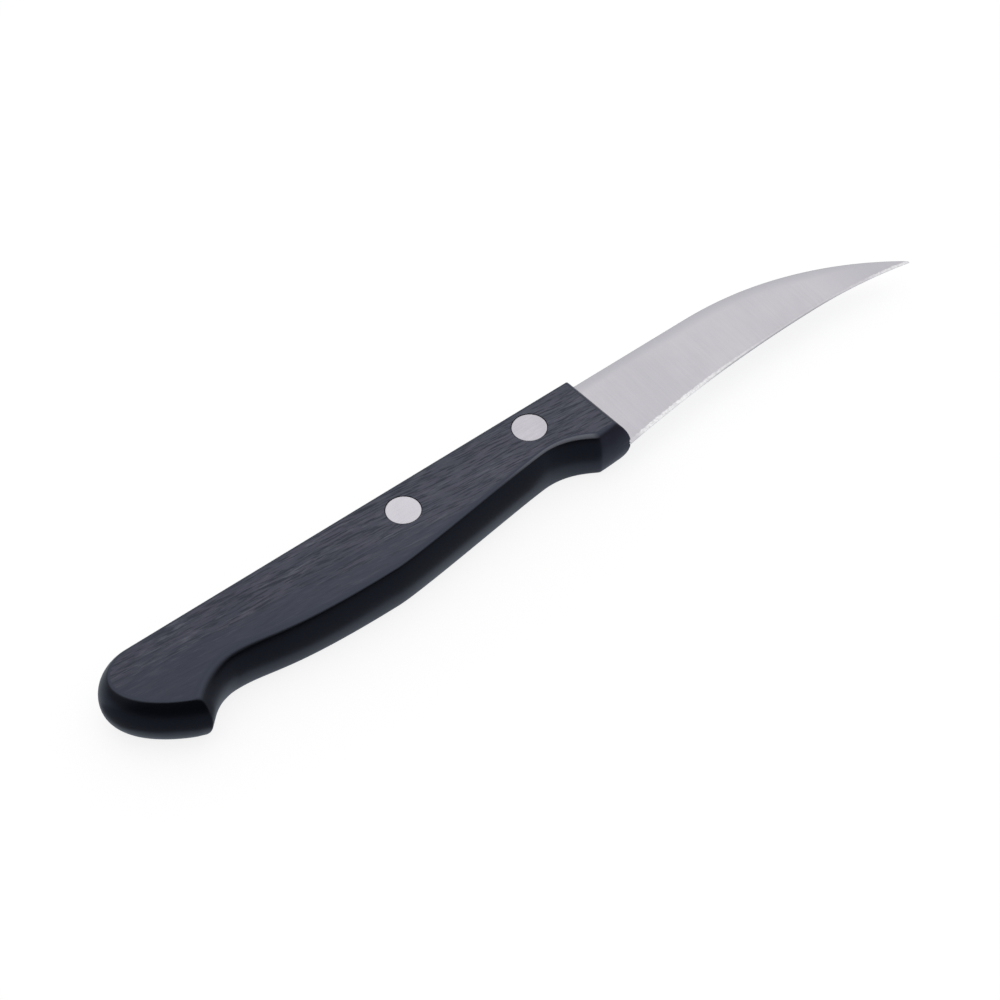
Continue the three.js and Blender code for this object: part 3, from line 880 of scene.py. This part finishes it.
def dyed_wood(finish):
    """Black-dyed laminated wood, sanded smooth: figured grain towards the spine, calm wood towards
    the belly, darker edge faces, a painted highlight along the finger scoop's eased edge, and
    painted light towards the front with painted shade towards the butt."""
    material, tree, shader, place = new_material("Dyed wood")
    run = math_node(tree, "SUBTRACT", axis(tree, place, "X"), datum().x)
    below = math_node(tree, "SUBTRACT", datum().y, axis(tree, place, "Y"))
    calm = node(tree, "Attribute", attribute_name="calm").outputs["Fac"]
    marks = use_group(tree, handling_marks(), Place=place, Scale=70.0).outputs["Marks"]

    turned = node(tree, "Mapping",
                  {"Vector": place, "Rotation": (0, 0, finish.grain_turn)}).outputs[0]
    wave = noise(tree, scaled(tree, turned, 30, 90, 90), 2)
    sway = node(tree, "CombineXYZ", {1: product(tree, wave, GRAIN_SWAY)}).outputs[0]
    grain = node(tree, "VectorMath", {0: turned, 1: sway}, operation="ADD").outputs[0]
    stray = noise(tree, scaled(tree, grain, 80, 800, 800), 3, 0.6)
    stray = math_node(tree, "SUBTRACT", stray, 0.5)
    figure = remap(tree, add_share(tree, stray, FIGURE_STRAY, axis(tree, grain, "Y")),
                   finish.figure_line - FIGURE_FADE, finish.figure_line + FIGURE_FADE, 0.32, 1)
    open_grain = product(tree, span(tree, calm, OPEN_CALM, 1, 1, 0.25), figure)

    stretches = noise(tree, scaled(tree, grain, 120, 600, 600), 3, 0.6)
    stretches = remap(tree, stretches, 0.36, 0.64, 0.35, 1)
    patches = noise(tree, scaled(tree, grain, 70, 380, 380), 2)
    patches = remap(tree, patches, 0.35, 0.65, 0.3, 1)
    flecks = noise(tree, scaled(tree, grain, 280, 2600, 2600), 3, 0.62)
    pores = noise(tree, scaled(tree, grain, 240, 3000, 3000), 3, 0.65)
    pale = product(tree, remap(tree, flecks, 0.5, 0.72, 0, 0.8), patches)
    pale = product(tree, pale, open_grain)
    deep = product(tree, remap(tree, pores, 0.55, 0.38), open_grain)

    tone = product(tree, figure, stretches)
    tone = blend(tree, tone, finish.wood_cool, finish.wood_warm)
    # Painted light towards the handle's front, painted shade towards its butt.
    tone = blend(tree, span(tree, run, PAINTED_LIGHT_SPAN, MM, 0, 0.2), tone, finish.wood_flecks_and_painted_light)
    tone = blend(tree, span(tree, run, PAINTED_SHADE_SPAN, MM, 0, 0.2), tone, finish.wood_pores_and_painted_shade)
    tone = blend(tree, deep, tone, finish.wood_pores_and_painted_shade)
    tone = blend(tree, pale, tone, finish.wood_flecks_and_painted_light)
    tone = blend(tree, span(tree, calm, OPEN_CALM, 1, 0, 0.8), tone, finish.wood_rim)
    side = blend(tree, span(tree, run, LIP_SPAN, MM), finish.wood_edge, finish.wood_end)
    tone = blend(tree, span(tree, calm, EDGE_CALM, 1), tone, side)
    # Painted highlight along the finger scoop's eased edge, fading out at the lip and near the
    # spine.
    line = product(tree, span(tree, calm, SCOOP_HIGHLIGHT_CALM, 1), span(tree, calm, SCOOP_HIGHLIGHT_END, 1))
    worn = product(tree, line, span(tree, run, SCOOP_HIGHLIGHT_SPAN, MM, 0.08, 1.15))
    behind = span(tree, run, BEHIND_LIP_SPAN, MM)
    behind = product(tree, behind, span(tree, below, LOWER_SPAN, MM))
    tone = blend(tree, product(tree, worn, behind), tone, finish.wood_worn)
    tree.links.new(tone, shader.inputs["Base Color"])

    rough = add_share(tree, pale, 0.08, span(tree, calm, POLISH_CALM, 1, 0.38, 0.31))
    tree.links.new(add_share(tree, marks, 0.05, rough), shader.inputs["Roughness"])
    height = product(tree, math_node(tree, "ADD", pores, flecks), open_grain)
    raise_relief(tree, shader, height, WOOD_RELIEF)
    shader.inputs["Specular IOR Level"].default_value = 0.5
    shader.inputs["Specular Tint"].default_value = (*finish.wood_gloss, 1)
    return material


def blade_steel(finish, blade):
    """Satin blade steel with fine lines across the blade and a coarser ground bevel; painted
    highlight on the bevel near the heel and at the tip, painted shade towards the tip, along the
    spine and on the fore edge.
    """
    material, tree, shader, place = new_material("Blade steel")
    lines = use_group(tree, satin_lines(), Place=place, Density=(5200, 140, 140)).outputs
    marks = use_group(tree, handling_marks(), Place=place, Scale=55.0).outputs["Marks"]
    above = node(tree, "Attribute", attribute_name="above_edge").outputs["Fac"]
    below = node(tree, "Attribute", attribute_name="below_spine").outputs["Fac"]
    run = math_node(tree, "SUBTRACT", axis(tree, place, "X"), datum().x)
    at_tip = span(tree, run, TIP_SPAN, blade.length, 0, 0.7)

    wander = noise(tree, scaled(tree, place, 2000, 2000, 2000), 3, 0.65)
    thinning = span(tree, run, THIN_SPAN, blade.length, 0, BEVEL_THINNING)
    thinning = add_share(tree, at_tip, -TIP_BEVEL, thinning)
    upper = add_share(tree, wander, BEVEL_WANDER, math_node(tree, "ADD", above, thinning))
    bevel = remap(tree, upper, *(blade.bevel_height + fade for fade in BEVEL_FADE))
    grit = noise(tree, scaled(tree, place, 2000, 1500, 1500), 3, 0.7)
    grit = remap(tree, grit, 0.36, 0.64)
    # Painted highlight on the bevel: brightest near the heel and at the tip.
    bevel_highlight_share = product(tree, span(tree, run, BEVEL_HIGHLIGHT_START, MM, 0.2, 1),
                    span(tree, run, BEVEL_HIGHLIGHT_END, blade.length, 0.2, 1))
    bevel_highlight_share = math_node(tree, "MAXIMUM", bevel_highlight_share, at_tip)
    shine = product(tree, bevel_highlight_share, add_share(tree, grit, 0.5, 0.5))
    bright = blend(tree, shine, finish.steel, finish.bevel_highlight)

    # Painted shade, darker towards the tip and along the spine.
    darkening = span(tree, run, TIP_SHADE_SPAN, blade.length, 0, 0.75)
    darkening = math_node(tree, "MAXIMUM", span(tree, below, SPINE_SHADE_SPAN, MM, 0, 0.8), darkening)
    shade = add_share(tree, lines["Lines"], 0.18, product(tree, marks, 0.3))
    shade = math_node(tree, "MAXIMUM", shade, darkening)
    face = blend(tree, shade, finish.steel, finish.steel_lines_and_shade)
    # Painted shade along the cutting edge of the fore blade, just above the edge.
    edge_shade = product(tree, span(tree, run, EDGE_SHADE_START, blade.length, 0, 0.6),
                   span(tree, run, EDGE_SHADE_END, blade.length))
    edge_shade = product(tree, span(tree, above, EDGE_SHADE_HEIGHT, MM), edge_shade)
    tone = blend(tree, edge_shade, blend(tree, bevel, face, bright), finish.fore_edge_shade)
    tree.links.new(tone, shader.inputs["Base Color"])

    rough = add_share(tree, lines["Lines"], 0.05, 0.3)
    rough = add_share(tree, marks, 0.03, rough)
    tree.links.new(add_share(tree, bevel, 0.06, rough), shader.inputs["Roughness"])
    coarse = product(tree, product(tree, bevel, grit), 3.0)
    height = math_node(tree, "ADD", lines["Height"], coarse)
    raise_relief(tree, shader, height, STEEL_RELIEF)
    shader.inputs["Metallic"].default_value = 1
    return material


def rivet_steel(finish):
    """Rivet steel, ground flush with the wood along the handle."""
    material, tree, shader, place = new_material("Rivet steel")
    lines = use_group(tree, satin_lines(), Place=place, Density=(260, 5200, 260)).outputs
    marks = use_group(tree, handling_marks(), Place=place, Scale=240.0).outputs["Marks"]
    # Darker towards the front rivet.
    darkening = remap(tree, axis(tree, place, "X"), rear_rivet.x, front_rivet.x, -0.5, 0.6)
    shade = add_share(tree, lines["Lines"], 0.5, product(tree, marks, 0.3))
    shade = math_node(tree, "MAXIMUM", math_node(tree, "ADD", shade, darkening), 0.0)
    tree.links.new(blend(tree, shade, finish.rivet, finish.rivet_dark), shader.inputs["Base Color"])
    rough = add_share(tree, lines["Lines"], 0.06, 0.32)
    tree.links.new(add_share(tree, marks, 0.05, rough), shader.inputs["Roughness"])
    raise_relief(tree, shader, lines["Height"], STEEL_RELIEF)
    shader.inputs["Metallic"].default_value = 1
    return material


# Stage

def floor_material(look):
    """A pale floor that is white where it is seen and keeps the knife's shadow."""
    material, tree, shader, _ = new_material("Pale floor")
    shader.inputs["Base Color"].default_value = (*look.floor_colour, 1)
    shader.inputs["Roughness"].default_value = 0.9
    shader.inputs["Specular IOR Level"].default_value = 0
    path = node(tree, "LightPath")
    mirrored = path.outputs["Is Glossy Ray"]
    tint = blend(tree, mirrored, (1, 1, 1), look.floor_mirrored)
    tree.links.new(tint, shader.inputs["Emission Color"])
    seen = add_share(tree, path.outputs["Is Camera Ray"], look.floor_white, mirrored)
    tree.links.new(seen, shader.inputs["Emission Strength"])
    return material


def studio_world(look):
    """Soft light from a dome whose bright middle leans away from the camera."""
    world = bpy.data.worlds.new("Studio")
    world.use_nodes = True
    tree = world.node_tree
    background = next(n for n in tree.nodes if n.type == "BACKGROUND")
    way = node(tree, "TexCoord").outputs["Generated"]
    lean = math.sin(look.light_tilt)
    middle = (lean * math.sin(look.azimuth), lean * math.cos(look.azimuth),
              math.cos(look.light_tilt))
    facing = node(tree, "VectorMath", {0: way, 1: middle},
                  operation="DOT_PRODUCT").outputs["Value"]
    rise = math_node(tree, "POWER", math_node(tree, "MAXIMUM", facing, 0.0), look.light_falloff)
    strength = add_share(tree, rise, look.light_high - look.light_low, look.light_low)
    tree.links.new(strength, background.inputs["Strength"])
    background.inputs["Color"].default_value = (1, 1, 1, 1)
    return world


def camera_frame(look):
    """Where the camera stands and how it is turned."""
    side = Vector((math.cos(look.azimuth), -math.sin(look.azimuth), 0))
    away = Vector((math.sin(look.azimuth), math.cos(look.azimuth), 0))
    ahead = away * math.cos(look.elevation) - Vector((0, 0, math.sin(look.elevation)))
    down = ahead.cross(side)
    across = side * math.cos(look.roll) - down * math.sin(look.roll)
    down = side * math.sin(look.roll) + down * math.cos(look.roll)
    aim = datum() + Vector((-look.aim_back, -look.aim_down, 0))
    turned = Matrix((across, -down, -ahead)).transposed()
    return Matrix.Translation(aim - ahead * look.distance) @ turned.to_4x4()


class KNIFE_OT_stage(bpy.types.Operator):
    """Lay the floor, set the light and the dark cards, and place the camera"""

    bl_idname = "knife.set_stage"
    bl_label = "Set the stage"

    def card(self, name, shade, places):
        """A dark card between the given places, which only the knife's own gloss shows."""
        deselect_all()
        bpy.ops.mesh.primitive_circle_add(vertices=len(places), fill_type="NGON",
                                          enter_editmode=True)
        card = bpy.context.object
        card.name = name
        mesh = bmesh.from_edit_mesh(card.data)
        for vert, place in zip(mesh.verts, places):
            vert.co = place
        bmesh.update_edit_mesh(card.data)
        bpy.ops.object.mode_set(mode="OBJECT")
        material, _, shader, _ = new_material(name)
        shader.inputs["Base Color"].default_value = (*shade, 1)
        shader.inputs["Specular IOR Level"].default_value = 0
        card.data.materials.append(material)
        card.visible_camera = card.visible_diffuse = card.visible_shadow = False

    def execute(self, context):
        look = context.scene.knife_stage
        deselect_all()
        bpy.ops.mesh.primitive_plane_add(size=look.floor_size, location=(0, 0, -FLOOR_GAP))
        floor = context.object
        floor.name = "floor"
        floor.data.materials.append(floor_material(look))

        reach, start = look.card_size, datum()
        near = [(x * MM, y * MM) for x, y in LOW_CARD]
        low = [(-reach, near[0][1]), *near, (CARD_SLANT * reach, -reach), (-reach, -reach)]
        self.card("low_card", look.low_card_colour,
                  [Vector((start.x + x, start.y + y, CARD_LIFT)) for x, y in low])
        near = [(x * MM, z * MM) for x, z in STANDING_CARD]
        standing = [(-reach, 0), *near, (-reach, near[-1][1])]
        self.card("standing_card", look.standing_card_colour,
                  [Vector((start.x + x, start.y - look.standing_card_away, z)) for x, z in standing])

        context.scene.world = studio_world(look)
        bpy.ops.object.camera_add()
        camera = context.object
        camera.name = "camera"
        camera.data.sensor_width = SENSOR_WIDTH
        camera.data.lens = look.lens
        camera.matrix_world = camera_frame(look)
        context.scene.camera = camera
        context.scene.view_settings.view_transform = "Standard"
        return {"FINISHED"}


class KNIFE_PT_build(bpy.types.Panel):
    """Steps and sizes of the knife"""

    bl_idname = "KNIFE_PT_build"
    bl_label = "Tourne knife"
    bl_space_type = "VIEW_3D"
    bl_region_type = "UI"
    bl_category = "Knife"

    def draw(self, context):
        for step in STEPS:
            self.layout.operator(step.bl_idname)
        for name in GROUPS:
            sizes = getattr(context.scene, name)
            box = self.layout.box()
            box.label(text=sizes.__doc__)
            for prop in sizes.__annotations__:
                box.prop(sizes, prop)


GROUPS = {
    "knife_handle": HandleSizes,
    "knife_blade": BladeSizes,
    "knife_rivets": RivetSizes,
    "knife_finish": Finishes,
    "knife_stage": StageLook,
}
STEPS = (KNIFE_OT_handle, KNIFE_OT_blade, KNIFE_OT_rivets, KNIFE_OT_stage)
CLASSES = (*GROUPS.values(), *STEPS, KNIFE_PT_build)


def register():
    for cls in CLASSES:
        bpy.utils.register_class(cls)
    for name, cls in GROUPS.items():
        setattr(bpy.types.Scene, name, PointerProperty(type=cls))


def unregister():
    for name in GROUPS:
        delattr(bpy.types.Scene, name)
    for cls in reversed(CLASSES):
        bpy.utils.unregister_class(cls)


def main():
    register()
    bpy.ops.knife.shape_handle()
    bpy.ops.knife.grind_blade()
    bpy.ops.knife.turn_rivets()
    bpy.ops.knife.set_stage()


if __name__ == "__main__":
    main()
